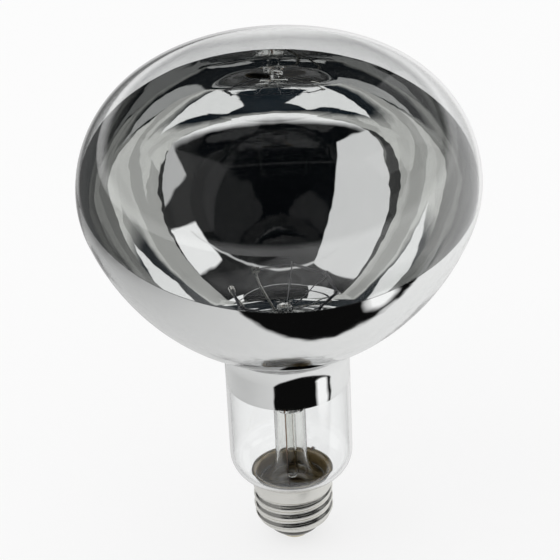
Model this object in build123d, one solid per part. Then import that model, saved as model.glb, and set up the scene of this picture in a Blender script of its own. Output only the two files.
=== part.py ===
"""Incandescent drying bulb, a reflector lamp with a screw cap, one solid for each piece.

Millimetres. The lamp stands on its centre contact: the origin is on the axis at the contact's
underside and +Z runs up the axis to the face.
"""
import os
from math import acos, atan2, cos, degrees, pi, radians, sin, sqrt

from build123d import *

# Bulb, outside
overall_length = 173.0
bulb_radius = 62.5
crown_rise = 41.0
shoulder_radius = 38.5
below_equator_radius = 30.0
below_equator_angle = 19.0
bowl_radius = 78.0
neck_fillet_radius = 12.0
neck_radius = 20.1
neck_shoulder_radius = 8.8
neck_shoulder_height = 33.8
seal_fillet_radius = 1.5
seal_radius = 11.9
seal_height = 20.6
glass_wall = 1.0

# Mirror on the inside of the bowl
mirror_edge_rise = 5.0
mirror_edge_tilt = 14.0
mirror_edge_turn = -81.0
mirror_neck_length = 8.7
mirror_thickness = 0.15

# Stem: flare tube, press and exhaust tube
stem_radius = 5.15
stem_wall = 0.9
flare_start = 33.0
stem_tube_top = 50.0
press_width = 11.5
press_thickness = 4.4
press_shoulder = 55.0
press_top = 64.0
exhaust_radius = 1.8
exhaust_wall = 0.55
exhaust_tip = 22.0
vent_radius = 0.8
vent_height = 53.5

# Wires
mount_turn = 57.5
lead_offset = 2.6
inner_lead_radius = 0.4
seal_wire_radius = 0.3
outer_lead_radius = 0.18
seal_wire_bottom = 53.0
seal_wire_top = 60.5

# Filament ring and its supports
filament_ring_radius = 17.0
filament_height = 93.0
filament_coil_radius = 0.55
filament_corner_radius = 1.6
first_post_angle = 35.0
post_step = 45.0
lead_posts = (2, 3)
post_count = 8
support_radius = 0.2
support_clearance = 0.02
arbor_radius = 1.5
button_radius = 2.5
button_drop = 9.0
button_length = 4.0
support_root_rise = 2.2
support_straight = 1.0
support_bend_inset = 4.0
support_bend_drop = 1.6
crimp_wall = 0.4
crimp_length = 2.4
crimp_overhang = 0.3
inner_lead_straight = 2.0
inner_lead_bend_share = 0.48
inner_lead_rise = 4.0
lead_straight_bottom = 34.0

# Screw cap
thread_crest = 13.1
thread_depth = 1.05
thread_pitch = 3.629
thread_phase_angle = -75.0
thread_phase_height = 15.45
thread_bottom = 8.4
thread_top = 20.2
thread_fade = 1.6
thread_step = 0.04
barrel_radius = 13.15
foot_radius = 12.1
foot_curl = 1.4
foot_lip_radius = 9.9
lip_radius = 13.6
lip_height = 0.9
cap_top = 24.8
cap_wall = 0.28
lip_clearance = 0.04
cement_bottom = 21.2
cement_recess = 0.35

# Insulator, contact and solder
insulator_top = 9.6
insulator_bulge = 1.1
insulator_relief_angle = 10.0
insulator_taper = 0.9
contact_radius = 4.9
contact_height = 1.6
contact_flat_inner = 2.4
contact_hole_radius = 0.7
contact_dish = 0.45
contact_edge = 0.8
contact_solder_height = 0.08
side_solder_radius = 0.85


def at(radius, height, angle=0.0):
    """A point given by its distance from the axis, its height and its turn about the axis."""
    turn = radians(angle)
    return Vector(radius * cos(turn), radius * sin(turn), height)


def on_arc(centre, radius, angle):
    """A point on an arc of the outline, centre given as distance from the axis and height."""
    turn = radians(angle)
    return at(centre[0] + radius * cos(turn), centre[1] + radius * sin(turn))


def arc(centre, radius, start, end):
    """An arc of the outline from one angle to another."""
    middle = (start + end) / 2
    return Edge.make_three_point_arc(
        on_arc(centre, radius, start), on_arc(centre, radius, middle), on_arc(centre, radius, end)
    )


def chain(points):
    """Straight edges through the points."""
    return [Edge.make_line(a, b) for a, b in zip(points, points[1:])]


def turned(edges):
    """The solid turned about the axis from a closed outline."""
    return Solid.revolve(Face(Wire(edges)), 360, Axis.Z)


def wire_along(points, radius, start=None, end=None):
    """A round wire bent smoothly through the points."""
    tangents = None
    if start is not None:
        tangents = (start, end)
    path = Edge.make_spline(points, tangents=tangents)
    section = Plane(origin=path @ 0, z_dir=path % 0) * Circle(radius)
    return sweep(section, path=path)


def straight_wire(first, last, radius):
    """A straight round wire from one point to another."""
    run = last - first
    return Plane(origin=(first + last) / 2, z_dir=run) * Cylinder(radius, run.length)


# Height of the glass button below the filament, and the middle bend of the inner leads
button_bottom = filament_height - button_drop
inner_lead_bend = press_top + inner_lead_bend_share * (filament_height - press_top)

# Arc centres and junctions of the bulb's outline
equator_height = overall_length - crown_rise
shoulder_inset = bulb_radius - shoulder_radius
face_radius = (shoulder_inset**2 + crown_rise**2 - shoulder_radius**2) / (
    2 * (crown_rise - shoulder_radius)
)
face_centre = (0.0, overall_length - face_radius)
shoulder_centre = (shoulder_inset, equator_height)
shoulder_start = degrees(atan2(equator_height - face_centre[1], shoulder_inset))
below_centre = (bulb_radius - below_equator_radius, equator_height)
bowl_shift = bowl_radius - below_equator_radius
bowl_centre = (
    below_centre[0] - bowl_shift * cos(radians(below_equator_angle)),
    below_centre[1] + bowl_shift * sin(radians(below_equator_angle)),
)
fillet_reach = neck_radius + neck_fillet_radius - bowl_centre[0]
fillet_span = bowl_radius + neck_fillet_radius
bowl_end = degrees(acos(fillet_reach / fillet_span))
neck_fillet_centre = (
    neck_radius + neck_fillet_radius,
    bowl_centre[1] - sqrt(fillet_span**2 - fillet_reach**2),
)
neck_shoulder_centre = (neck_radius - neck_shoulder_radius, neck_shoulder_height)
seal_reach = seal_radius + seal_fillet_radius - neck_shoulder_centre[0]
seal_span = neck_shoulder_radius + seal_fillet_radius
seal_turn = degrees(acos(seal_reach / seal_span))
seal_fillet_centre = (
    seal_radius + seal_fillet_radius,
    neck_shoulder_height - sqrt(seal_span**2 - seal_reach**2),
)


def bulb_outline(depth):
    """The bulb's outline from the face down to the seal, moved into the glass by depth."""
    return [
        arc(face_centre, face_radius - depth, 90, shoulder_start),
        arc(shoulder_centre, shoulder_radius - depth, shoulder_start, 0),
        arc(below_centre, below_equator_radius - depth, 0, -below_equator_angle),
        arc(bowl_centre, bowl_radius - depth, -below_equator_angle, -bowl_end),
        arc(neck_fillet_centre, neck_fillet_radius + depth, 180 - bowl_end, 180),
        Edge.make_line(
            at(neck_radius - depth, neck_fillet_centre[1]), at(neck_radius - depth, neck_shoulder_height)
        ),
        arc(neck_shoulder_centre, neck_shoulder_radius - depth, 0, -seal_turn),
        arc(seal_fillet_centre, seal_fillet_radius + depth, 180 - seal_turn, 180),
        Edge.make_line(
            at(seal_radius - depth, seal_fillet_centre[1]), at(seal_radius - depth, seal_height)
        ),
    ]


def filled_bulb(depth):
    """The bulb's outline turned as a full body."""
    outline = bulb_outline(depth)
    bottom = at(0, seal_height)
    top = outline[0] @ 0
    closing = [Edge.make_line(outline[-1] @ 1, bottom), Edge.make_line(bottom, top)]
    return turned(outline + closing)


def make_envelope():
    """Blown glass bulb, one wall thickness all over, open at the neck's sealed end."""
    outer = bulb_outline(0)
    inner = bulb_outline(glass_wall)
    closing = [
        Edge.make_line(outer[-1] @ 1, inner[-1] @ 1),
        Edge.make_line(inner[0] @ 0, outer[0] @ 0),
    ]
    return turned(outer + inner + closing)


def make_mirror():
    """Bright film on the inside of the bowl and of the upper neck, its upper edge aslant."""
    film = filled_bulb(glass_wall) - filled_bulb(glass_wall + mirror_thickness)
    lower_edge = neck_fillet_centre[1] - mirror_neck_length
    upper_edge = equator_height + mirror_edge_rise
    above_neck = Pos(0, 0, lower_edge) * Cylinder(
        2 * bulb_radius, overall_length, align=(Align.CENTER, Align.CENTER, Align.MIN)
    )
    aslant = Pos(0, 0, upper_edge) * Rot(0, 0, mirror_edge_turn) * Rot(0, mirror_edge_tilt, 0)
    below_edge = aslant * Cylinder(
        2 * bulb_radius, overall_length, align=(Align.CENTER, Align.CENTER, Align.MAX)
    )
    return film & above_neck & below_edge


def make_stem_body():
    """Flare tube and flat press of one glass, still without its wires."""
    bore = stem_radius - stem_wall
    rim = seal_radius - glass_wall
    drop = flare_start - seal_height
    bend = ((rim - stem_radius) ** 2 + drop**2) / (2 * (rim - stem_radius))
    bend_end = degrees(acos(1 - (rim - stem_radius) / bend))
    centre = (stem_radius + bend, flare_start)
    outer = arc(centre, bend, 180, 180 + bend_end)
    inner = arc(centre, bend + stem_wall, 180, 180 + bend_end)
    skirt = turned(
        [
            Edge.make_line(at(stem_radius, stem_tube_top), at(stem_radius, flare_start)),
            outer,
            Edge.make_line(outer @ 1, inner @ 1),
            inner,
            Edge.make_line(at(bore, flare_start), at(bore, stem_tube_top)),
            Edge.make_line(at(bore, stem_tube_top), at(stem_radius, stem_tube_top)),
        ]
    )
    tube_end = Pos(0, 0, stem_tube_top) * Circle(stem_radius)
    flat = Pos(0, 0, press_shoulder) * RectangleRounded(
        press_width, press_thickness, press_thickness * 0.45
    )
    shoulder = loft([tube_end, flat])
    block = extrude(flat, press_top - press_shoulder)
    block = fillet(block.edges().group_by(Axis.Z)[-1], 0.8)
    body = skirt + shoulder + block
    return Rot(0, 0, mount_turn) * body


def make_exhaust_tube():
    """Narrow tube the bulb was pumped through, sealed off at its lower tip."""
    bore = exhaust_radius - exhaust_wall
    tip_centre = (0.0, exhaust_tip + exhaust_radius)
    pocket = (0.0, exhaust_tip + exhaust_radius + exhaust_wall)
    return turned(
        [
            Edge.make_line(at(exhaust_radius, stem_tube_top), at(exhaust_radius, tip_centre[1])),
            arc(tip_centre, exhaust_radius, 0, -90),
            Edge.make_line(at(0, exhaust_tip), at(0, pocket[1] - bore)),
            arc(pocket, bore, -90, 0),
            Edge.make_line(at(bore, pocket[1]), at(bore, stem_tube_top)),
            Edge.make_line(at(bore, stem_tube_top), at(exhaust_radius, stem_tube_top)),
        ]
    )


def post_angle(index):
    """Turn of one filament post about the axis."""
    return first_post_angle + index * post_step


def post_point(index, radius=filament_ring_radius, height=filament_height):
    """A point on the radius of one filament post."""
    return at(radius, height, post_angle(index))


def make_filament():
    """Coiled filament, shown at its coil's outside diameter, from one lead round to the other."""
    order = [(lead_posts[1] + step) % post_count for step in range(post_count)]
    path = FilletPolyline(*[post_point(index) for index in order], radius=filament_corner_radius)
    section = Plane(origin=path @ 0, z_dir=path % 0) * Circle(filament_coil_radius)
    return sweep(section, path=path)


def make_arbor():
    """Glass rod standing on the press, with the button that holds the supports."""
    rod = Pos(0, 0, (press_top + button_bottom) / 2) * Cylinder(arbor_radius, button_bottom - press_top)
    button_middle = button_bottom + button_length / 2
    button = Pos(0, 0, button_middle) * Cylinder(button_radius, button_length)
    button = fillet(button.edges().filter_by(GeomType.CIRCLE), 1.2)
    return rod + button


def support_root(index):
    """The straight end of a support, held in the button."""
    turn = post_angle(index)
    height = button_bottom + support_root_rise
    inner = at(button_radius * 0.4, height, turn)
    outer = at(button_radius + support_straight, height, turn)
    return straight_wire(inner, outer, support_radius)


def make_support(index):
    """Hooked wire from the button out to the filament, with an eye round the coil."""
    turn = post_angle(index)
    eye_radius = filament_coil_radius + support_radius + support_clearance
    eye_bottom = filament_height - eye_radius
    eye_reach = filament_ring_radius - filament_corner_radius * (1 / cos(radians(post_step / 2)) - 1)
    spoke = wire_along(
        [
            at(button_radius + support_straight, button_bottom + support_root_rise, turn),
            at(eye_reach - support_bend_inset, eye_bottom - support_bend_drop, turn),
            at(eye_reach, eye_bottom, turn),
        ],
        support_radius,
        start=at(1, 0, turn),
        end=at(0.8, 0.6, turn),
    )
    eye_plane = Plane(origin=at(eye_reach, filament_height, turn), z_dir=at(1, 0, turn + 90))
    eye = eye_plane * Torus(eye_radius, support_radius)
    return support_root(index) + spoke + eye


def press_wire(side, bottom, top, radius):
    """The straight run of a wire beside the axis, on one side of the press."""
    foot = mount_turn + (0 if side > 0 else 180)
    return straight_wire(at(lead_offset, bottom, foot), at(lead_offset, top, foot), radius)


def make_inner_lead(side, index, next_index):
    """Stout wire from the press up to one end of the filament, ending in a crimped sleeve."""
    foot = mount_turn + (0 if side > 0 else 180)
    turn = post_angle(index)
    along = (post_point(next_index) - post_point(index)).normalized()
    grip = post_point(index) + along * (crimp_length / 2 - crimp_overhang)
    grip_angle = degrees(atan2(grip.Y, grip.X))
    grip_reach = sqrt(grip.X**2 + grip.Y**2)
    wire = wire_along(
        [
            at(lead_offset, press_top + inner_lead_straight, foot),
            at(grip_reach * 0.45, inner_lead_bend, turn - side * 20),
            at(grip_reach * 0.9, filament_height - inner_lead_rise, grip_angle),
            grip - Vector(0, 0, filament_coil_radius + crimp_wall / 2),
        ],
        inner_lead_radius,
        start=Vector(0, 0, 1),
        end=at(0.3, 1, grip_angle),
    )
    foot_run = press_wire(side, seal_wire_top, press_top + inner_lead_straight, inner_lead_radius)
    grip_plane = Plane(origin=grip, x_dir=Vector(0, 0, 1), z_dir=along)
    lead = wire + grip_plane * Cylinder(filament_coil_radius + crimp_wall, crimp_length)
    lead = lead - grip_plane * Cylinder(filament_coil_radius, 2 * crimp_length)
    return lead + foot_run


def make_side_lead():
    """Wire from the press down the flare, out under the seal and over the cap's lip."""
    lane = (seal_radius + barrel_radius - cap_wall) / 2
    over = cap_top + outer_lead_radius + lip_clearance
    run = wire_along(
        [
            at(lead_offset, lead_straight_bottom, mount_turn),
            at(lead_offset + 1.2, seal_height + 2.0, mount_turn),
            at(lane - 4.5, seal_height - 2.1, mount_turn),
            at(lane - 1.3, seal_height - 1.2, mount_turn),
            at(lane - 0.25, seal_height - 0.4, mount_turn),
            at(lane, seal_height + 0.8, mount_turn),
            at(lane, cap_top - 1.6, mount_turn),
            at(lane + 0.36, cap_top - 0.2, mount_turn),
            at(lip_radius - 0.2, over, mount_turn),
            at(lip_radius + 0.4, cap_top - 0.15, mount_turn),
            at(lip_radius + 0.45, cap_top - 0.6, mount_turn),
        ],
        outer_lead_radius,
        start=Vector(0, 0, -1),
        end=Vector(0, 0, -1),
    )
    return press_wire(1, lead_straight_bottom, seal_wire_bottom, outer_lead_radius) + run


def make_centre_lead():
    """Wire from the press down the flare and through the insulator to the centre contact."""
    foot = mount_turn + 180
    run = wire_along(
        [
            at(lead_offset, lead_straight_bottom, foot),
            at(lead_offset * 0.6, seal_height - 4.0, foot),
            at(0, insulator_top + 1.0, foot),
        ],
        outer_lead_radius,
        start=Vector(0, 0, -1),
        end=Vector(0, 0, -1),
    )
    upper = press_wire(-1, lead_straight_bottom, seal_wire_bottom, outer_lead_radius)
    lower = straight_wire(at(0, contact_dish), at(0, insulator_top + 1.0), outer_lead_radius)
    return upper + run + lower


def smooth(value):
    """Smooth step from 0 to 1."""
    value = min(max(value, 0.0), 1.0)
    return value * value * (3 - 2 * value)


def thread_radius(height, angle, depth):
    """Radius of the rolled thread at a height and turn, moved into the sheet by depth."""
    bend = (thread_pitch**2 / 4 + thread_depth**2) / (4 * thread_depth)
    root_height = thread_phase_height + thread_pitch * (angle - thread_phase_angle) / 360
    from_root = (height - root_height) % thread_pitch
    from_crest = abs(from_root - thread_pitch / 2)
    split = (bend - depth) * thread_pitch / (4 * bend)
    if from_crest <= split:
        rolled = thread_crest - bend + sqrt((bend - depth) ** 2 - from_crest**2)
    else:
        from_root = thread_pitch / 2 - from_crest
        rolled = thread_crest - thread_depth + bend - sqrt((bend + depth) ** 2 - from_root**2)
    rise = smooth((height - thread_bottom) / thread_fade)
    fall = smooth((thread_top - height) / thread_fade)
    rolled = rise * rolled + (1 - rise) * (foot_radius - thread_step - depth)
    return fall * rolled + (1 - fall) * (barrel_radius - thread_step - depth)


def thread_section(angle):
    """Closed outline of the threaded sheet in one plane through the axis."""
    steps = round(12 * (thread_top - thread_bottom) / thread_pitch)
    heights = [thread_bottom + (thread_top - thread_bottom) * k / steps for k in range(steps + 1)]
    outside = [at(thread_radius(z, angle, 0), z, angle) for z in heights]
    inside = [at(thread_radius(z, angle, cap_wall), z, angle) for z in reversed(heights)]
    return Wire(
        [
            Edge.make_spline(outside),
            Edge.make_line(outside[-1], inside[0]),
            Edge.make_spline(inside),
            Edge.make_line(inside[-1], outside[0]),
        ]
    )


def make_cap_shell():
    """Screw shell of thin sheet: rolled thread, plain barrel, flared lip and curled foot."""
    halves = []
    for first in (0, 180):
        sections = [thread_section(first + 15 * k) for k in range(13)]
        halves.append(Solid.make_loft(sections))
    thread = halves[0] + halves[1]
    lip_foot = cap_top - lip_height
    lip_slope = at(lip_radius, cap_top - cap_wall)
    upper = turned(
        chain(
            [
                at(barrel_radius, thread_top),
                at(barrel_radius, lip_foot),
                lip_slope,
                at(lip_radius, cap_top),
                at(lip_radius - cap_wall, cap_top),
                at(barrel_radius - cap_wall, lip_foot),
                at(barrel_radius - cap_wall, thread_top),
                at(barrel_radius, thread_top),
            ]
        )
    )
    curl_centre = (foot_radius - foot_curl, thread_bottom)
    foot_bottom = thread_bottom - foot_curl
    lower = turned(
        [
            arc(curl_centre, foot_curl, 0, -90),
            Edge.make_line(at(curl_centre[0], foot_bottom), at(foot_lip_radius, foot_bottom)),
            Edge.make_line(at(foot_lip_radius, foot_bottom), at(foot_lip_radius, foot_bottom + cap_wall)),
            Edge.make_line(
                at(foot_lip_radius, foot_bottom + cap_wall), at(curl_centre[0], foot_bottom + cap_wall)
            ),
            arc(curl_centre, foot_curl - cap_wall, -90, 0),
            Edge.make_line(at(foot_radius - cap_wall, thread_bottom), at(foot_radius, thread_bottom)),
        ]
    )
    return thread + upper + lower


def make_insulator():
    """Black glass that closes the foot of the shell and carries the centre contact."""
    foot_bottom = thread_bottom - foot_curl
    curl_centre = (foot_radius - foot_curl, thread_bottom)
    inside = foot_curl - cap_wall
    start = at(foot_lip_radius, foot_bottom)
    end = at(contact_radius, contact_height)
    middle = (start + end) / 2 + at(insulator_bulge * 0.6, -insulator_bulge * 0.8)
    top_radius = foot_radius - cap_wall - insulator_taper
    relief = on_arc(curl_centre, inside, -insulator_relief_angle)
    body = turned(
        [
            Edge.make_line(at(contact_hole_radius, insulator_top), at(top_radius, insulator_top)),
            Edge.make_line(at(top_radius, insulator_top), relief),
            arc(curl_centre, inside, -insulator_relief_angle, -90),
            Edge.make_line(
                at(curl_centre[0], foot_bottom + cap_wall), at(foot_lip_radius, foot_bottom + cap_wall)
            ),
            Edge.make_line(at(foot_lip_radius, foot_bottom + cap_wall), start),
            Edge.make_three_point_arc(start, middle, end),
            Edge.make_line(end, at(contact_hole_radius, contact_height)),
            Edge.make_line(at(contact_hole_radius, contact_height), at(contact_hole_radius, insulator_top)),
        ]
    )
    return body


def make_contact():
    """Pressed centre contact: a flat ring, a rounded edge and a dished middle with a hole."""
    edge_centre = (contact_radius - contact_edge, contact_edge)
    hole = contact_hole_radius
    return turned(
        [
            Edge.make_line(at(hole, contact_height), at(contact_radius, contact_height)),
            Edge.make_line(at(contact_radius, contact_height), at(contact_radius, contact_edge)),
            arc(edge_centre, contact_edge, 0, -90),
            Edge.make_line(at(edge_centre[0], 0), at(contact_flat_inner, 0)),
            Edge.make_line(at(contact_flat_inner, 0), at(contact_flat_inner - 0.7, contact_dish)),
            Edge.make_line(at(contact_flat_inner - 0.7, contact_dish), at(hole, contact_dish)),
            Edge.make_line(at(hole, contact_dish), at(hole, contact_height)),
        ]
    )


def make_contact_solder():
    """Solder that fills the contact's dish and hole round the end of the centre lead."""
    reach = contact_flat_inner - 0.7
    crown = at(0, contact_solder_height)
    edge = at(reach, contact_dish)
    middle = at(reach * 0.6, contact_solder_height + 0.12)
    plug_top = contact_height - 0.2
    body = turned(
        [
            Edge.make_three_point_arc(crown, middle, edge),
            Edge.make_line(edge, at(contact_hole_radius, contact_dish)),
            Edge.make_line(at(contact_hole_radius, contact_dish), at(contact_hole_radius, plug_top)),
            Edge.make_line(at(contact_hole_radius, plug_top), at(0, plug_top)),
            Edge.make_line(at(0, plug_top), crown),
        ]
    )
    return body - straight_wire(at(0, contact_dish), at(0, contact_height), outer_lead_radius)


def make_cement():
    """Ring of basing cement between the glass and the shell, a little below the lip."""
    top = cap_top - cement_recess
    ring = Pos(0, 0, (top + cement_bottom) / 2) * Cylinder(
        barrel_radius - cap_wall, top - cement_bottom
    )
    return ring - filled_bulb(0)


def make_side_solder():
    """Small bead of solder that holds the side lead on the outside of the lip."""
    bead = Pos(at(lip_radius + 0.1, cap_top - 0.55, mount_turn)) * Sphere(side_solder_radius)
    return bead - filled_bulb(0) - Cylinder(barrel_radius, 2 * cap_top)


def make_vent():
    """Passage from the exhaust tube out through the flat of the press."""
    rise = Pos(0, 0, (stem_tube_top + vent_height) / 2) * Cylinder(
        vent_radius, vent_height - stem_tube_top
    )
    knee = Pos(0, 0, vent_height) * Sphere(vent_radius)
    out = Pos(0, -press_width / 2, vent_height) * Rot(90, 0, 0) * Cylinder(vent_radius, press_width)
    return Rot(0, 0, mount_turn) * (rise + knee + out)


os.makedirs("parts", exist_ok=True)

seal_wire_1 = press_wire(1, seal_wire_bottom, seal_wire_top, seal_wire_radius)
seal_wire_2 = press_wire(-1, seal_wire_bottom, seal_wire_top, seal_wire_radius)
side_lead = make_side_lead()
centre_lead = make_centre_lead()
filament = make_filament()
inner_lead_1 = make_inner_lead(1, lead_posts[0], lead_posts[0] - 1)
inner_lead_2 = make_inner_lead(-1, lead_posts[1], lead_posts[1] + 1)
support_posts = [index for index in range(post_count) if index not in lead_posts]
supports = [make_support(index) for index in support_posts]
stem = make_stem_body() - make_vent()
for side in (1, -1):
    stem = stem - press_wire(side, seal_wire_top, press_top, inner_lead_radius)
    stem = stem - press_wire(side, seal_wire_bottom, seal_wire_top, seal_wire_radius)
    stem = stem - press_wire(side, lead_straight_bottom, seal_wire_bottom, outer_lead_radius)
arbor = make_arbor()
for index in support_posts:
    arbor = arbor - support_root(index)
cap_shell = make_cap_shell()
insulator = make_insulator()
side_solder = make_side_solder() - cap_shell - side_lead

nodes = {
    "glass_envelope": make_envelope(),
    "mirror_coating": make_mirror(),
    "glass_stem": stem,
    "exhaust_tube": make_exhaust_tube(),
    "glass_arbor": arbor,
    "filament": filament,
    "inner_lead_1": inner_lead_1,
    "inner_lead_2": inner_lead_2,
    "seal_wire_1": seal_wire_1,
    "seal_wire_2": seal_wire_2,
    "side_lead": side_lead,
    "centre_lead": centre_lead,
    "cap_shell": cap_shell,
    "cap_cement": make_cement() - side_lead,
    "cap_insulator": insulator,
    "centre_contact": make_contact(),
    "contact_solder": make_contact_solder(),
    "side_solder": side_solder,
}
for number, support in enumerate(supports, start=1):
    nodes[f"filament_support_{number}"] = support

for name, solid in nodes.items():
    solid.label = name
    export_step(solid, f"parts/{name}.step")
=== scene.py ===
"""Incandescent drying bulb: the dressed model in its studio."""
from math import acos, atan2, cos, pi, radians, sin, sqrt, tan

import bmesh
import bpy
from mathutils import Matrix, Vector


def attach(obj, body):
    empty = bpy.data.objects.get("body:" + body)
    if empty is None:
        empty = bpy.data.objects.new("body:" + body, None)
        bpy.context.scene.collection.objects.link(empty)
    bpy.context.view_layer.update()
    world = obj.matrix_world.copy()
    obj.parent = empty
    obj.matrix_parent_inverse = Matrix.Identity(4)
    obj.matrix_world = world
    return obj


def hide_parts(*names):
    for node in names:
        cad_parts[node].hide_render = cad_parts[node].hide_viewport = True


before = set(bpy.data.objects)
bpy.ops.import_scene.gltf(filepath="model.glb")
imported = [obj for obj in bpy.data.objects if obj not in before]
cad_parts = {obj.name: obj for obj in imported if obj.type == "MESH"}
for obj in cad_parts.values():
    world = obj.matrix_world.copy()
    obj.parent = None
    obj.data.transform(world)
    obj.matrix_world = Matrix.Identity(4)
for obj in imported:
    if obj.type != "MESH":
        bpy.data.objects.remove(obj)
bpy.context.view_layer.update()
scene = bpy.context.scene
MM = 0.001

# Bulb outline, the same sizes as the solids, in millimetres, with angles in degrees. LENGTH, EQUATOR
# and the names in Z are heights, WALL is a thickness, the others are radii of the bulb and its arcs
LENGTH = 173.0
RADIUS = 62.5
EQUATOR = 132.0
SHOULDER = 38.5
BELOW = 30.0
BELOW_ANGLE = 19.0
BOWL = 78.0
NECK_FILLET = 12.0
NECK = 20.1
NECK_SHOULDER = 8.8
NECK_SHOULDER_Z = 33.8
SEAL_FILLET = 1.5
SEAL = 11.9
SEAL_Z = 20.6
WALL = 1.0

# Mirror film: how far over the equator its upper edge crosses the axis, how much it slants and which
# way, its lower edge, the height that it is turned to before the cut, its thickness, and how far it
# sinks into the glass
FILM_RISE = 5.0
FILM_TILT = 14.0
FILM_TURN = -81.0
FILM_BOTTOM = 61.0
FILM_UNCUT_TOP = EQUATOR + 28.0
FILM = 0.15
FILM_SINK = 0.06

# Steps of the turned meshes: faces round the axis, degrees between the points of each arc,
# stretches of the straight neck, the least gap between two points and the radius of a point on the
# axis in millimetres, the least angle of a sharp edge
ROUND_STEPS = 160
ARC_STEP = 2.0
FACE_STEP = 0.6
BOWL_STEP = 1.2
FILLET_STEP = 3.0
NECK_SHOULDER_STEP = 4.0
SEAL_STEP = 12.0
NECK_STEPS = 12
LEAST_GAP = 0.01
ON_AXIS = 1e-6
SHARP_ANGLE = radians(35)

# Filament ring, in millimetres and degrees: the ring of posts, the bend at a post and the share of it
# that is cut off each side, the coil and its wire as radii. The coil starts at post COIL_START
RING = 17.0
RING_Z = 93.0
POST_FIRST = 35.0
POST_STEP = 45.0
POSTS = 8
COIL_START = 3
CORNER = 1.6
CORNER_SHARE = 0.42
COIL = 0.5
COIL_PITCH = 0.42
COIL_WIRE = 0.11
COIL_POINTS = 12
WIRE_SIDES = 6
SUPPORTS = 6

# Outlines and turned meshes


def arc_points(centre, radius, start, end, step=ARC_STEP):
    """Points of an arc, angles in degrees, ends included."""
    count = max(2, int(abs(end - start) / step) + 1)
    angles = [radians(start + (end - start) * k / count) for k in range(count + 1)]
    return [(centre[0] + radius * cos(a), centre[1] + radius * sin(a)) for a in angles]


def bulb_profile(depth):
    """The bulb's outline from the middle of the face to the seal, moved in by depth."""
    rise = LENGTH - EQUATOR
    inset = RADIUS - SHOULDER
    face = (inset**2 + rise**2 - SHOULDER**2) / (2 * (rise - SHOULDER))
    face_z = LENGTH - face
    lean = atan2(EQUATOR - face_z, inset) * 180 / pi
    below = (RADIUS - BELOW, EQUATOR)
    shift = BOWL - BELOW
    turn = radians(BELOW_ANGLE)
    bowl = (below[0] - shift * cos(turn), below[1] + shift * sin(turn))
    reach = NECK + NECK_FILLET - bowl[0]
    span = BOWL + NECK_FILLET
    bowl_end = acos(reach / span) * 180 / pi
    fillet = (NECK + NECK_FILLET, bowl[1] - sqrt(span**2 - reach**2))
    knee = (NECK - NECK_SHOULDER, NECK_SHOULDER_Z)
    neck = NECK_SHOULDER_Z - fillet[1]
    seal_reach = SEAL + SEAL_FILLET - knee[0]
    seal_span = NECK_SHOULDER + SEAL_FILLET
    seal_turn = acos(seal_reach / seal_span) * 180 / pi
    seal = (SEAL + SEAL_FILLET, NECK_SHOULDER_Z - sqrt(seal_span**2 - seal_reach**2))
    runs = [
        arc_points((0, face_z), face - depth, 90, lean, FACE_STEP),
        arc_points((inset, EQUATOR), SHOULDER - depth, lean, 0),
        arc_points(below, BELOW - depth, 0, -BELOW_ANGLE),
        arc_points(bowl, BOWL - depth, -BELOW_ANGLE, -bowl_end, BOWL_STEP),
        arc_points(fillet, NECK_FILLET + depth, 180 - bowl_end, 180, FILLET_STEP),
        [(NECK - depth, fillet[1] + neck * k / NECK_STEPS) for k in range(NECK_STEPS + 1)],
        arc_points(knee, NECK_SHOULDER - depth, 0, -seal_turn, NECK_SHOULDER_STEP),
        arc_points(seal, SEAL_FILLET + depth, 180 - seal_turn, 180, SEAL_STEP),
        [(SEAL - depth, seal[1]), (SEAL - depth, SEAL_Z)],
    ]
    points = [runs[0][0]]
    for run in runs:
        for point in run:
            if abs(point[0] - points[-1][0]) + abs(point[1] - points[-1][1]) > LEAST_GAP:
                points.append(point)
    return points


def clip_profile(points, low, high):
    """The stretch of an outline between two heights, cut exactly at both."""
    kept = []
    for a, b in zip(points, points[1:]):
        for level in (high, low):
            if (a[1] - level) * (b[1] - level) < 0:
                share = (level - a[1]) / (b[1] - a[1])
                kept.append((a[0] + (b[0] - a[0]) * share, level))
        if low < b[1] < high:
            kept.append(b)
    return kept


def lathe(name, profile, closed=True):
    """A mesh turned about the axis from (radius, height) points in millimetres."""
    mesh = bmesh.new()
    rings = []
    for radius, height in profile:
        if radius < ON_AXIS:
            rings.append([mesh.verts.new((0, 0, height * MM))])
            continue
        ring = []
        for k in range(ROUND_STEPS):
            a = 2 * pi * k / ROUND_STEPS
            ring.append(mesh.verts.new((radius * cos(a) * MM, radius * sin(a) * MM, height * MM)))
        rings.append(ring)
    pairs = list(zip(rings, rings[1:]))
    if closed:
        pairs.append((rings[-1], rings[0]))
    for first, second in pairs:
        if len(first) == 1 and len(second) == 1:
            continue
        for k in range(ROUND_STEPS):
            n = k + 1
            corners = [first[k % len(first)], first[n % len(first)]]
            corners += [second[n % len(second)], second[k % len(second)]]
            mesh.faces.new(list(dict.fromkeys(corners)))
    bmesh.ops.recalc_face_normals(mesh, faces=mesh.faces)
    return finish_mesh(name, mesh)


def shade_smooth(data):
    """Smooth shading with the sharp edges kept."""
    for face in data.polygons:
        face.use_smooth = True
    data.set_sharp_from_angle(angle=SHARP_ANGLE)


def finish_mesh(name, mesh, smooth=True):
    """Turns the working mesh into a piece of the scene."""
    data = bpy.data.meshes.new(name)
    mesh.to_mesh(data)
    mesh.free()
    if smooth:
        shade_smooth(data)
    piece = bpy.data.objects.new(name, data)
    scene.collection.objects.link(piece)
    return piece


def set_material(piece, material):
    """One material on every face of the piece."""
    piece.data.materials.clear()
    piece.data.materials.append(material)
    for face in piece.data.polygons:
        face.material_index = 0


def place(piece, material, slot, *nodes):
    """A finished piece: its material, its body, and the nodes that it stands for."""
    set_material(piece, material)
    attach(piece, "root")
    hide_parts(*nodes)


# Building node trees


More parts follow.
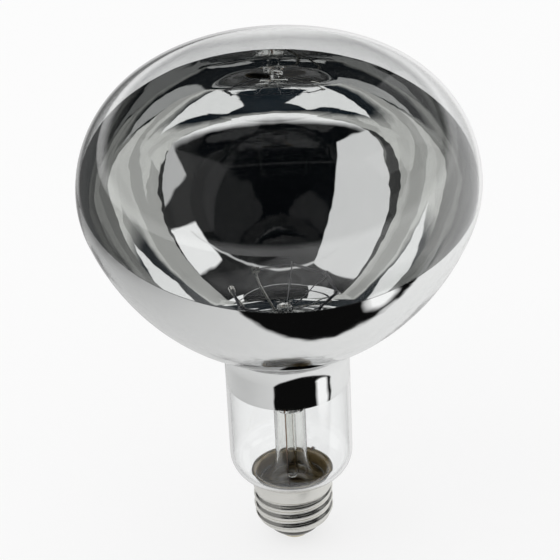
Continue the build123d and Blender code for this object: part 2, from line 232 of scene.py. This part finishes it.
def socket(group, name, kind, way="INPUT", value=None):
    """A named socket of a node group."""
    made = group.interface.new_socket(name=name, in_out=way, socket_type="NodeSocket" + kind)
    if value is not None:
        made.default_value = value


def feed(tree, into, value):
    """Sets an input to a plain value, or links another node's output to it."""
    if isinstance(value, bpy.types.NodeSocket):
        tree.links.new(value, into)
    else:
        into.default_value = value


def added(tree, kind, values):
    """A new node with its named inputs fed."""
    node = tree.nodes.new(kind)
    for name, value in values.items():
        feed(tree, node.inputs[name], value)
    return node


def maths(tree, operation, *values):
    """The outcome of one sum."""
    node = tree.nodes.new("ShaderNodeMath")
    node.operation = operation
    for into, value in zip(node.inputs, values):
        feed(tree, into, value)
    return node.outputs["Value"]


def vectors(tree, operation, *values, result="Vector"):
    """The outcome of one sum with vectors."""
    node = tree.nodes.new("ShaderNodeVectorMath")
    node.operation = operation
    for into, value in zip(node.inputs, values):
        feed(tree, into, value)
    return node.outputs[result]


def scaled(tree, vector, scale):
    """A vector or colour times a number."""
    node = tree.nodes.new("ShaderNodeVectorMath")
    node.operation = "SCALE"
    feed(tree, node.inputs[0], vector)
    feed(tree, node.inputs["Scale"], scale)
    return node.outputs["Vector"]


def ranged(tree, value, low, high, start=0.0, end=1.0):
    """A value carried from one range to another and held within it."""
    values = {"Value": value, "From Min": low, "From Max": high, "To Min": start, "To Max": end}
    return added(tree, "ShaderNodeMapRange", values).outputs["Result"]


def mixed(tree, kind, factor, first, second):
    """A mix of two numbers (FLOAT) or two colours (RGBA)."""
    node = tree.nodes.new("ShaderNodeMix")
    node.data_type = kind
    feed(tree, node.inputs["Factor"], factor)
    feed(tree, node.inputs["A"], first)
    feed(tree, node.inputs["B"], second)
    return node.outputs["Result"]


def toned(tree, value, stops):
    """A value turned into a tone by stops of position and tone, in rising order."""
    node = added(tree, "ShaderNodeValToRGB", {"Fac": value})
    marks = node.color_ramp.elements
    marks[0].position = stops[0][0]
    marks[1].position = stops[-1][0]
    for position, _ in stops[1:-1]:
        marks.new(position)
    for mark, (_, tone) in zip(marks, stops):
        mark.color = (*tone, 1)
    return node.outputs["Color"]


def grey(tone):
    """A colour without a tint."""
    return (tone, tone, tone)


# Materials: the detail of the mottling's noise, and the stretch of it that roughness follows
NOISE_DETAIL = 4.0
NOISE_SPAN = (0.3, 0.7)


def mottle_group():
    """Soft mottling: a colour between two tones, a roughness and a bumped normal."""
    group = bpy.data.node_groups.new("mottle", "ShaderNodeTree")
    socket(group, "Tone A", "Color")
    socket(group, "Tone B", "Color")
    socket(group, "Scale", "Float", value=400.0)
    socket(group, "Rough low", "Float", value=0.1)
    socket(group, "Rough high", "Float", value=0.2)
    socket(group, "Bump", "Float", value=0.05)
    socket(group, "Bump depth", "Float", value=0.0001)
    socket(group, "Color", "Color", "OUTPUT")
    socket(group, "Roughness", "Float", "OUTPUT")
    socket(group, "Normal", "Vector", "OUTPUT")
    inputs = group.nodes.new("NodeGroupInput").outputs
    where = group.nodes.new("ShaderNodeTexCoord").outputs["Object"]
    spread = {"Vector": where, "Scale": inputs["Scale"], "Detail": NOISE_DETAIL}
    noise = added(group, "ShaderNodeTexNoise", spread).outputs["Fac"]
    lift = {"Height": noise, "Strength": inputs["Bump"], "Distance": inputs["Bump depth"]}
    results = {
        "Color": mixed(group, "RGBA", noise, inputs["Tone A"], inputs["Tone B"]),
        "Roughness": ranged(group, noise, *NOISE_SPAN, inputs["Rough low"], inputs["Rough high"]),
        "Normal": added(group, "ShaderNodeBump", lift).outputs["Normal"],
    }
    added(group, "NodeGroupOutput", results)
    return group


MOTTLE = mottle_group()


def finish(name, tone_a, tone_b, metallic=0.0, rough=(0.1, 0.2), scale=400.0, bump=0.05, depth=0.0001):
    """A material with mottled colour, roughness and surface."""
    material = bpy.data.materials.new(name)
    material.use_nodes = True
    nodes, links = material.node_tree.nodes, material.node_tree.links
    shader = nodes["Principled BSDF"]
    mottle = nodes.new("ShaderNodeGroup")
    mottle.node_tree = MOTTLE
    mottle.inputs["Tone A"].default_value = (*tone_a, 1)
    mottle.inputs["Tone B"].default_value = (*tone_b, 1)
    mottle.inputs["Scale"].default_value = scale
    mottle.inputs["Rough low"].default_value = rough[0]
    mottle.inputs["Rough high"].default_value = rough[1]
    mottle.inputs["Bump"].default_value = bump
    mottle.inputs["Bump depth"].default_value = depth
    links.new(mottle.outputs["Color"], shader.inputs["Base Color"])
    links.new(mottle.outputs["Roughness"], shader.inputs["Roughness"])
    if bump:
        links.new(mottle.outputs["Normal"], shader.inputs["Normal"])
    shader.inputs["Metallic"].default_value = metallic
    return material


def metal(name, tone_a, tone_b, rough, scale, bump, depth=0.0001):
    """A bare metal, between two tones and between two roughnesses."""
    return finish(name, tone_a, tone_b, 1.0, rough, scale, bump, depth)


def clear_glass(name, tone_a, tone_b, ior):
    """Clear glass that lets the lamps through to what is inside."""
    material = finish(name, tone_a, tone_b, rough=(0.0, 0.012), scale=60.0, bump=0.0)
    nodes, links = material.node_tree.nodes, material.node_tree.links
    shader = nodes["Principled BSDF"]
    shader.inputs["Transmission Weight"].default_value = 1.0
    shader.inputs["IOR"].default_value = ior
    path = nodes.new("ShaderNodeLightPath")
    through = nodes.new("ShaderNodeBsdfTransparent")
    mix = nodes.new("ShaderNodeMixShader")
    links.new(path.outputs["Is Shadow Ray"], mix.inputs["Fac"])
    links.new(shader.outputs["BSDF"], mix.inputs[1])
    links.new(through.outputs["BSDF"], mix.inputs[2])
    links.new(mix.outputs["Shader"], nodes["Material Output"].inputs["Surface"])
    return material


def dull_inside(material, tone, roughness, start=-0.2, full=-0.5):
    """Leaves the faces that look toward the axis unplated and stained."""
    tree = material.node_tree
    shader = tree.nodes["Principled BSDF"]
    where = tree.nodes.new("ShaderNodeTexCoord").outputs["Object"]
    outward = vectors(tree, "NORMALIZE", vectors(tree, "MULTIPLY", where, (1, 1, 0)))
    surface = tree.nodes.new("ShaderNodeNewGeometry").outputs["True Normal"]
    facing = vectors(tree, "DOT_PRODUCT", outward, surface, result="Value")
    inside = ranged(tree, facing, start, full)
    changes = {
        "Base Color": ("RGBA", (*tone, 1)),
        "Roughness": ("FLOAT", roughness),
        "Metallic": ("FLOAT", 0.0),
    }
    for name, (kind, value) in changes.items():
        into = shader.inputs[name]
        plated = into.links[0].from_socket if into.is_linked else into.default_value
        tree.links.new(mixed(tree, kind, inside, plated, value), into)


bulb_glass = clear_glass("bulb glass", (0.975, 0.98, 0.98), (0.955, 0.96, 0.96), 1.5)
stem_glass = clear_glass("stem glass", (0.97, 0.975, 0.965), (0.95, 0.955, 0.94), 1.55)
film_metal = metal(
    "evaporated film", (0.93, 0.935, 0.93), (0.90, 0.905, 0.90),
    rough=(0.01, 0.03), scale=20.0, bump=0.5, depth=0.0008,
)
tungsten = metal("tungsten", (0.30, 0.30, 0.32), (0.20, 0.20, 0.22), (0.3, 0.45), 900.0, 0.1)
molybdenum = metal("support wire", (0.45, 0.45, 0.46), (0.33, 0.33, 0.34), (0.25, 0.4), 900.0, 0.1)
lead_metal = metal("lead wire", (0.66, 0.65, 0.61), (0.5, 0.49, 0.45), (0.22, 0.35), 700.0, 0.1)
seal_metal = finish("seal wire", (0.5, 0.22, 0.13), (0.38, 0.15, 0.09), 0.8, (0.3, 0.45), 700.0, 0.1)
copper = metal("copper wire", (0.62, 0.42, 0.30), (0.45, 0.28, 0.20), (0.25, 0.4), 700.0, 0.1)
nickel = metal("nickel plate", (0.87, 0.86, 0.82), (0.83, 0.82, 0.78), (0.2, 0.26), 220.0, 0.02)
dull_inside(nickel, tone=(0.44, 0.35, 0.20), roughness=0.6)
cement = finish(
    "cap cement", (0.62, 0.47, 0.24), (0.36, 0.26, 0.12),
    rough=(0.7, 0.9), scale=1500.0, bump=0.6, depth=0.0003,
)
black_glass = finish(
    "black glass", (0.022, 0.018, 0.012), (0.035, 0.028, 0.018),
    rough=(0.05, 0.12), scale=300.0, bump=0.03,
)
contact_metal = metal("contact metal", (0.72, 0.66, 0.5), (0.6, 0.54, 0.4), (0.2, 0.35), 600.0, 0.08)
solder = metal("solder", (0.62, 0.63, 0.64), (0.5, 0.5, 0.52), (0.25, 0.45), 500.0, 0.15, 0.0002)

# Bulb and mirror film
outer = bulb_profile(0)
inner = bulb_profile(WALL)
bulb = lathe("blown_bulb", outer + inner[::-1], closed=False)
place(bulb, bulb_glass, "clear_glass", "glass_envelope")


def cut_aslant(piece):
    """Cuts the film off above its slanting upper edge and closes the cut."""
    mesh = bmesh.new()
    mesh.from_mesh(piece.data)
    low = Vector((cos(radians(FILM_TURN)), sin(radians(FILM_TURN)), 0))
    tilt = radians(FILM_TILT)
    up = (low * sin(tilt) + Vector((0, 0, 1)) * cos(tilt)).normalized()
    middle = Vector((0, 0, (EQUATOR + FILM_RISE) * MM))
    whole = mesh.verts[:] + mesh.edges[:] + mesh.faces[:]
    cut = bmesh.ops.bisect_plane(mesh, geom=whole, plane_co=middle, plane_no=up, clear_outer=True)
    rim = [part for part in cut["geom_cut"] if isinstance(part, bmesh.types.BMEdge)]
    bmesh.ops.bridge_loops(mesh, edges=rim)
    bmesh.ops.recalc_face_normals(mesh, faces=mesh.faces)
    mesh.to_mesh(piece.data)
    mesh.free()
    shade_smooth(piece.data)


back = clip_profile(bulb_profile(WALL - FILM_SINK), FILM_BOTTOM, FILM_UNCUT_TOP)
front = clip_profile(bulb_profile(WALL + FILM), FILM_BOTTOM, FILM_UNCUT_TOP)
film = lathe("silver_film", back + front[::-1])
cut_aslant(film)
place(film, film_metal, "mirror_film", "mirror_coating")

# Filament coil


def coil_tree():
    """Winds a wire round any guide curve."""
    tree = bpy.data.node_groups.new("wound coil", "GeometryNodeTree")
    socket(tree, "Guide", "Geometry")
    socket(tree, "Coil radius", "Float")
    socket(tree, "Pitch", "Float")
    socket(tree, "Wire radius", "Float")
    socket(tree, "Points a turn", "Int", value=COIL_POINTS)
    socket(tree, "Metal", "Material")
    socket(tree, "Geometry", "Geometry", "OUTPUT")
    inputs = tree.nodes.new("NodeGroupInput").outputs
    spacing = maths(tree, "DIVIDE", inputs["Pitch"], inputs["Points a turn"])
    resample = tree.nodes.new("GeometryNodeResampleCurve")
    resample.mode = "LENGTH"
    feed(tree, resample.inputs["Curve"], inputs["Guide"])
    feed(tree, resample.inputs["Length"], spacing)
    along = tree.nodes.new("GeometryNodeSplineParameter").outputs["Length"]
    angle = maths(tree, "MULTIPLY", maths(tree, "DIVIDE", along, inputs["Pitch"]), 2 * pi)
    wheel = tree.nodes.new("ShaderNodeVectorRotate")
    wheel.rotation_type = "AXIS_ANGLE"
    feed(tree, wheel.inputs["Vector"], tree.nodes.new("GeometryNodeInputNormal").outputs["Normal"])
    feed(tree, wheel.inputs["Axis"], tree.nodes.new("GeometryNodeInputTangent").outputs["Tangent"])
    feed(tree, wheel.inputs["Angle"], angle)
    reach = scaled(tree, wheel.outputs["Vector"], inputs["Coil radius"])
    wound = {"Geometry": resample.outputs["Curve"], "Offset": reach}
    wind = added(tree, "GeometryNodeSetPosition", wound)
    round_wire = {"Resolution": WIRE_SIDES, "Radius": inputs["Wire radius"]}
    ring = added(tree, "GeometryNodeCurvePrimitiveCircle", round_wire)
    swept = {
        "Curve": wind.outputs["Geometry"],
        "Profile Curve": ring.outputs["Curve"],
        "Fill Caps": True,
    }
    wire = added(tree, "GeometryNodeCurveToMesh", swept)
    real = added(tree, "GeometryNodeRealizeInstances", {"Geometry": wire.outputs["Mesh"]})
    dressed = {"Geometry": real.outputs["Geometry"], "Material": inputs["Metal"]}
    last = added(tree, "GeometryNodeSetMaterial", dressed)
    added(tree, "NodeGroupOutput", {"Geometry": last.outputs["Geometry"]})
    return tree


def grown(name, guide, tree, values):
    """A plain mesh from a guide and a node tree, its named inputs set by identifier."""
    grow = guide.modifiers.new("grow", "NODES")
    grow.node_group = tree
    names = {item.name: item.identifier for item in tree.interface.items_tree if item.in_out == "INPUT"}
    for key, value in values.items():
        grow[names[key]] = value
    bpy.context.view_layer.update()
    evaluated = guide.evaluated_get(bpy.context.evaluated_depsgraph_get())
    data = bpy.data.meshes.new_from_object(evaluated)
    guide.modifiers.remove(grow)
    bpy.data.objects.remove(guide)
    data.name = name
    for face in data.polygons:
        face.use_smooth = True
    piece = bpy.data.objects.new(name, data)
    scene.collection.objects.link(piece)
    return piece


def post(index):
    """The coil's middle at one filament post, in metres."""
    a = radians(POST_FIRST + index * POST_STEP)
    return Vector((RING * cos(a), RING * sin(a), RING_Z)) * MM


def filament_path():
    """The coil's middle line: straight between the posts, rounded at each."""
    corners = [post((COIL_START + k) % POSTS) for k in range(POSTS)]
    cut = CORNER * MM * CORNER_SHARE
    points = [corners[0]]
    for a, b, c in zip(corners, corners[1:], corners[2:]):
        before = b + (a - b).normalized() * cut
        after = b + (c - b).normalized() * cut
        points += [before, (before + after + 2 * b) / 4, after]
    points.append(corners[-1])
    return points


def poly_curve(name, points):
    """A guide curve through the points."""
    data = bpy.data.curves.new(name, "CURVE")
    data.dimensions = "3D"
    spline = data.splines.new("POLY")
    spline.points.add(len(points) - 1)
    for mark, point in zip(spline.points, points):
        mark.co = (*point, 1)
    guide = bpy.data.objects.new(name, data)
    scene.collection.objects.link(guide)
    return guide


winding = {
    "Coil radius": COIL * MM - COIL_WIRE * MM,
    "Pitch": COIL_PITCH * MM,
    "Wire radius": COIL_WIRE * MM,
    "Points a turn": COIL_POINTS,
    "Metal": tungsten,
}
coil = grown("wound_filament", poly_curve("filament guide", filament_path()), coil_tree(), winding)
place(coil, tungsten, "tungsten", "filament")

# Pieces whose solids show as they are
finishes = {
    "glass_stem": stem_glass,
    "exhaust_tube": stem_glass,
    "glass_arbor": stem_glass,
    "inner_lead_1": lead_metal,
    "inner_lead_2": lead_metal,
    "seal_wire_1": seal_metal,
    "seal_wire_2": seal_metal,
    "side_lead": copper,
    "centre_lead": copper,
    "cap_shell": nickel,
    "cap_cement": cement,
    "cap_insulator": black_glass,
    "centre_contact": contact_metal,
    "contact_solder": solder,
    "side_solder": solder,
}
for number in range(1, SUPPORTS + 1):
    finishes[f"filament_support_{number}"] = molybdenum
for node, material in finishes.items():
    set_material(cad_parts[node], material)

# How many glass surfaces light has passed, as Light Path counts them: two where the glass's own face
# reflects on its inside, four where light went in to the mirror and out again
AT_FACE = 2.0
AT_MIRROR = 4.0
HALF_COUNT = 0.5

# Studio floor: half its width in metres, its colour and roughness, and how much of what the eye sees
# of it glows by itself, while the rest keeps the bulb's shadow
FLOOR_HALF = 6.0
FLOOR_PAINT = (0.86, 0.86, 0.86)
FLOOR_ROUGHNESS = 0.9
FLOOR_GLOW = 0.72
# Painted reflection, seen only in the mirror: the floor's tones from left to right over a stretch in
# metres, and painted shade for the dark under the bulb: how little of them it shows out through the
# neck
REFLECTION_STRETCH = (-0.25, 0.15)
REFLECTION_TONES = (
    (0.0, (0.12, 0.12, 0.13)),
    (0.2, grey(0.42)),
    (0.4, grey(0.6)),
    (0.8, grey(0.8)),
    (1.0, grey(0.86)),
)
UNDER_BULB_SHADE = 0.05
# Painted reflection: a dark patch to the front right that the floor shows only to the mirror: its
# corner, its reach, the softness of its edges and of its end in metres, the ways that its two edges run
# from the corner in degrees
DARK_PATCH_CORNER = (0.021, -0.039, 0)
DARK_PATCH_EDGES = (13, -140)
DARK_PATCH_REACH = 0.26
DARK_PATCH_SOFT = 0.006
DARK_PATCH_FADE = 0.12
DARK_PATCH_TONE = 0.004
# Painted glint: a pale spot on the dark patch, seen only in the mirror: its middle, radius and soft
# edge in metres
GLINT_PLACE = (0.103, -0.058, 0)
GLINT_RADIUS = 0.029
GLINT_SOFT = 0.012


def dark_patch_mask(tree, where):
    """Where the painted dark reflection lies: between its two edges, fading out at its reach."""
    spot = vectors(tree, "SUBTRACT", where, DARK_PATCH_CORNER)
    away = vectors(tree, "LENGTH", spot, result="Value")
    mask = ranged(tree, away, DARK_PATCH_REACH - DARK_PATCH_FADE, DARK_PATCH_REACH, 1.0, 0.0)
    for edge, way in zip(DARK_PATCH_EDGES, (1, -1)):
        across = (way * sin(radians(edge)), -way * cos(radians(edge)), 0)
        past = vectors(tree, "DOT_PRODUCT", spot, across, result="Value")
        mask = maths(tree, "MULTIPLY", mask, ranged(tree, past, 0.0, DARK_PATCH_SOFT))
    return mask


def painted_floor_reflection(tree, path):
    """The painted reflection that the mirror shows of the floor: its tones, a dark patch and a glint.
    """
    where = tree.nodes.new("ShaderNodeTexCoord").outputs["Object"]
    parts = added(tree, "ShaderNodeSeparateXYZ", {"Vector": where}).outputs
    bare = toned(tree, ranged(tree, parts["X"], *REFLECTION_STRETCH), REFLECTION_TONES)
    # Painted reflection: the dark patch laid over the mirrored floor tones
    with_dark_patch = mixed(tree, "FLOAT", dark_patch_mask(tree, where), bare, DARK_PATCH_TONE)
    # Painted glint: a pale spot laid over the dark patch, a highlight for the neck
    from_glint = vectors(tree, "DISTANCE", where, GLINT_PLACE, result="Value")
    painted_glint = ranged(tree, from_glint, GLINT_RADIUS, GLINT_RADIUS - GLINT_SOFT)
    with_glint = mixed(tree, "FLOAT", painted_glint, with_dark_patch, 1.0)
    # Painted shade: the mirrored floor dimmed where it is seen out through the neck, for the dark under
    # the bulb
    through_neck = maths(tree, "COMPARE", path["Transmission Depth"], AT_MIRROR, HALF_COUNT)
    return maths(tree, "MULTIPLY", with_glint, ranged(tree, through_neck, 0.0, 1.0, 1.0, UNDER_BULB_SHADE))


def studio_floor():
    """A pale floor with the bulb's shadow, white in glass, a painted reflection in the mirror."""
    mesh = bmesh.new()
    bmesh.ops.create_grid(mesh, x_segments=1, y_segments=1, size=FLOOR_HALF)
    floor = finish_mesh("studio_floor", mesh, smooth=False)
    material = bpy.data.materials.new("studio floor")
    material.use_nodes = True
    tree = material.node_tree
    paint = tree.nodes["Principled BSDF"]
    paint.inputs["Base Color"].default_value = (*FLOOR_PAINT, 1)
    paint.inputs["Roughness"].default_value = FLOOR_ROUGHNESS
    paint.inputs["Specular IOR Level"].default_value = 0.0
    path = tree.nodes.new("ShaderNodeLightPath").outputs
    seen = maths(tree, "MAXIMUM", path["Is Camera Ray"], path["Is Glossy Ray"])
    seen = maths(tree, "MAXIMUM", seen, path["Is Transmission Ray"])
    share = ranged(tree, seen, 0.0, 1.0, 0.0, FLOOR_GLOW)
    share = maths(tree, "MAXIMUM", share, path["Is Glossy Ray"])
    # Seen in the mirror, the floor glows with a painted reflection rather than its lit colour
    mirrored = maths(tree, "MINIMUM", path["Glossy Depth"], 1.0)
    strength = mixed(tree, "FLOAT", mirrored, 1.0, painted_floor_reflection(tree, path))
    glow = added(tree, "ShaderNodeEmission", {"Color": (1, 1, 1, 1), "Strength": strength})
    blend = added(tree, "ShaderNodeMixShader", {"Fac": share})
    tree.links.new(paint.outputs["BSDF"], blend.inputs[1])
    tree.links.new(glow.outputs["Emission"], blend.inputs[2])
    tree.links.new(blend.outputs["Shader"], tree.nodes["Material Output"].inputs["Surface"])
    floor.data.materials.append(material)
    return floor


floor = studio_floor()

# Studio world: light panels, each with its direction, half size and lean in degrees as the bulb
# sees it, and its level
PANELS = {
    "left panel": (-82, 28, 33.4, 33, -39, 0.74),
    "right panel": (93, 41, 11.5, 10, 32, 1.0),
    "low right panel": (80, 13, 17, 10, 0, 0.5),
    "rear right panel": (138, 24, 22, 12, 0, 0.8),
    "overhead strip": (0, 82, 52, 1.1, 0, 0.7),
}
# The same for the windows that light finds after it met the mirror twice
WINDOWS = {
    "high right window": (96, 62, 30, 13, -8, 1.0),
    "high left window": (-68, 58, 32, 10, 14, 1.0),
}
# Softness of a panel's edge, and the least that a direction counts as lying ahead
PANEL_SOFT = 0.02
LEAST_AHEAD = 0.001
# Tones by height: the sky with its white horizon, the walls that light finds after the mirror twice
SKY_TONES = ((0.06, grey(1.0)), (0.17, (0.002, 0.0025, 0.003)))
WALL_TONES = ((0.58, (0.62, 0.62, 0.60)), (0.68, (0.012, 0.018, 0.024)))
# The walls' patches: how many, and their darkest and lightest
PATCH_SCALE = 2.6
PATCH_LEVELS = (0.65, 1.1)
# How the room fades from one count of meetings with the mirror to the other
FADE_MEETINGS = (2.0, 5.0)
FADE_TONES = (
    (0.0, grey(1.0)),
    (0.34, grey(0.42)),
    (0.67, grey(0.2)),
    (1.0, (0.07, 0.075, 0.08)),
)
# Share of the panels that the glass's own face reflects, where the mirror shows all of them
FACE_SHARE = 0.3


def panel_group():
    """Mask of a flat rectangular light panel, seen in one direction from the bulb."""
    group = bpy.data.node_groups.new("light panel", "ShaderNodeTree")
    for name in ("Direction", "Axis", "Side", "Up"):
        socket(group, name, "Vector")
    socket(group, "Half width", "Float", value=0.5)
    socket(group, "Half height", "Float", value=0.5)
    socket(group, "Softness", "Float", value=PANEL_SOFT)
    socket(group, "Mask", "Float", "OUTPUT")
    inputs = group.nodes.new("NodeGroupInput").outputs
    ahead = vectors(group, "DOT_PRODUCT", inputs["Direction"], inputs["Axis"], result="Value")
    ahead = maths(group, "MAXIMUM", ahead, LEAST_AHEAD)
    mask = 1.0
    for name, half in (("Side", "Half width"), ("Up", "Half height")):
        across = vectors(group, "DOT_PRODUCT", inputs["Direction"], inputs[name], result="Value")
        offset = maths(group, "ABSOLUTE", maths(group, "DIVIDE", across, ahead))
        inside = maths(group, "SUBTRACT", inputs[half], offset)
        inside = maths(group, "DIVIDE", inside, inputs["Softness"])
        inside = maths(group, "MINIMUM", maths(group, "MAXIMUM", inside, 0.0), 1.0)
        mask = maths(group, "MULTIPLY", mask, inside)
    added(group, "NodeGroupOutput", {"Mask": mask})
    return group


PANEL = panel_group()


def heading(azimuth, rise):
    """The direction at an azimuth from the front and a rise above level, in degrees."""
    a, e = radians(azimuth), radians(rise)
    return Vector((sin(a) * cos(e), -cos(a) * cos(e), sin(e)))


def lit_by(tree, way, tone, panels):
    """The tone in each direction, with the panels laid over it."""
    for name, (azimuth, rise, wide, high, lean, level) in panels.items():
        axis = heading(azimuth, rise)
        side = axis.cross(Vector((0, 0, 1))).normalized()
        over = side.cross(axis)
        turn = radians(lean)
        panel = tree.nodes.new("ShaderNodeGroup")
        panel.node_tree = PANEL
        panel.name = name
        feed(tree, panel.inputs["Direction"], way)
        panel.inputs["Axis"].default_value = axis
        panel.inputs["Side"].default_value = side * cos(turn) + over * sin(turn)
        panel.inputs["Up"].default_value = over * cos(turn) - side * sin(turn)
        panel.inputs["Half width"].default_value = tan(radians(wide))
        panel.inputs["Half height"].default_value = tan(radians(high))
        tone = mixed(tree, "RGBA", panel.outputs["Mask"], tone, (*grey(level), 1))
    return tone


def room_once(tree, way, height, path):
    """What light finds after it met the mirror once: the sky with its panels."""
    sky = toned(tree, height, SKY_TONES)
    behind = ranged(tree, path["Transmission Depth"], AT_FACE, AT_MIRROR, FACE_SHARE, 1.0)
    return mixed(tree, "RGBA", behind, sky, lit_by(tree, way, sky, PANELS))


def room_again(tree, way, height, path):
    """What light finds after it met the mirror again: patched walls and windows, ever darker."""
    patches = added(tree, "ShaderNodeTexVoronoi", {"Vector": way, "Scale": PATCH_SCALE})
    pick = added(tree, "ShaderNodeSeparateColor", {"Color": patches.outputs["Color"]})
    patch = ranged(tree, pick.outputs["Red"], 0.0, 1.0, *PATCH_LEVELS)
    walls = scaled(tree, toned(tree, height, WALL_TONES), patch)
    fading = toned(tree, ranged(tree, path["Glossy Depth"], *FADE_MEETINGS), FADE_TONES)
    return vectors(tree, "MULTIPLY", fading, lit_by(tree, way, walls, WINDOWS))


def studio_world():
    """Plain white to the eye, to diffuse light and straight through glass, and a room in mirrors."""
    world = bpy.data.worlds.new("studio")
    world.use_nodes = True
    tree = world.node_tree
    way = tree.nodes.new("ShaderNodeTexCoord").outputs["Generated"]
    height = added(tree, "ShaderNodeSeparateXYZ", {"Vector": way}).outputs["Z"]
    path = tree.nodes.new("ShaderNodeLightPath").outputs
    again = ranged(tree, path["Glossy Depth"], 1.0, 2.0)
    once = room_once(tree, way, height, path)
    room = mixed(tree, "RGBA", again, once, room_again(tree, way, height, path))
    direct = maths(tree, "MAXIMUM", path["Is Camera Ray"], path["Is Diffuse Ray"])
    straight = maths(tree, "SUBTRACT", path["Is Transmission Ray"], path["Glossy Depth"])
    plain = maths(tree, "MAXIMUM", direct, straight)
    sky = tree.nodes["Background"]
    feed(tree, sky.inputs["Color"], mixed(tree, "RGBA", plain, room, (1, 1, 1, 1)))
    sky.inputs["Strength"].default_value = 1.0
    return world


scene.world = studio_world()

# Lamp and camera, in metres and degrees
BULB_MIDDLE = Vector((0, 0, 0.12))


def softbox(name, azimuth, rise, distance, size, power):
    """A square lamp aimed at the bulb, lighting it without showing in it."""
    data = bpy.data.lights.new(name, "AREA")
    data.shape = "RECTANGLE"
    data.size = size
    data.size_y = size
    data.energy = power
    lamp = bpy.data.objects.new(name, data)
    lamp.location = heading(azimuth, rise) * distance + BULB_MIDDLE
    lamp.rotation_euler = (BULB_MIDDLE - lamp.location).to_track_quat("-Z", "Y").to_euler()
    lamp.visible_glossy = False
    lamp.visible_transmission = False
    scene.collection.objects.link(lamp)


softbox("left softbox", azimuth=-75, rise=45, distance=1.6, size=0.9, power=2.5)

# The camera stands in front of the bulb, looks down on it from a distance in metres and is rolled a
# little. Its focal length and its shift are in pixels of a square frame
AIM = Vector((0, 0, 0.1))
RISE = radians(30.56)
ROLL = radians(-2.69)
DISTANCE = 0.75
FRAME_PIXELS = 560.0
FOCAL_PIXELS = 2386.1
SHIFT_PIXELS = (-3.1, -7.1)
SENSOR = 36.0


def studio_camera():
    """The camera that sees the bulb as the photograph does."""
    forward = Vector((0, cos(RISE), -sin(RISE)))
    right = Vector((1, 0, 0))
    up = Vector((0, sin(RISE), cos(RISE)))
    rolled_right = right * cos(ROLL) + up * sin(ROLL)
    rolled_up = up * cos(ROLL) - right * sin(ROLL)
    lens = bpy.data.cameras.new("camera")
    lens.sensor_width = SENSOR
    lens.lens = FOCAL_PIXELS * SENSOR / FRAME_PIXELS
    lens.shift_x = SHIFT_PIXELS[0] / FRAME_PIXELS
    lens.shift_y = SHIFT_PIXELS[1] / FRAME_PIXELS
    lens.clip_start = 0.01
    lens.clip_end = 50.0
    camera = bpy.data.objects.new("camera", lens)
    turned = Matrix((rolled_right, rolled_up, -forward)).transposed().to_4x4()
    camera.matrix_world = Matrix.Translation(AIM - forward * DISTANCE) @ turned
    scene.collection.objects.link(camera)
    return camera


bpy.context.scene.camera = studio_camera()

scene.view_settings.view_transform = "Standard"
scene.cycles.max_bounces = 24
scene.cycles.glossy_bounces = 10
scene.cycles.transmission_bounces = 16
scene.cycles.transparent_max_bounces = 16
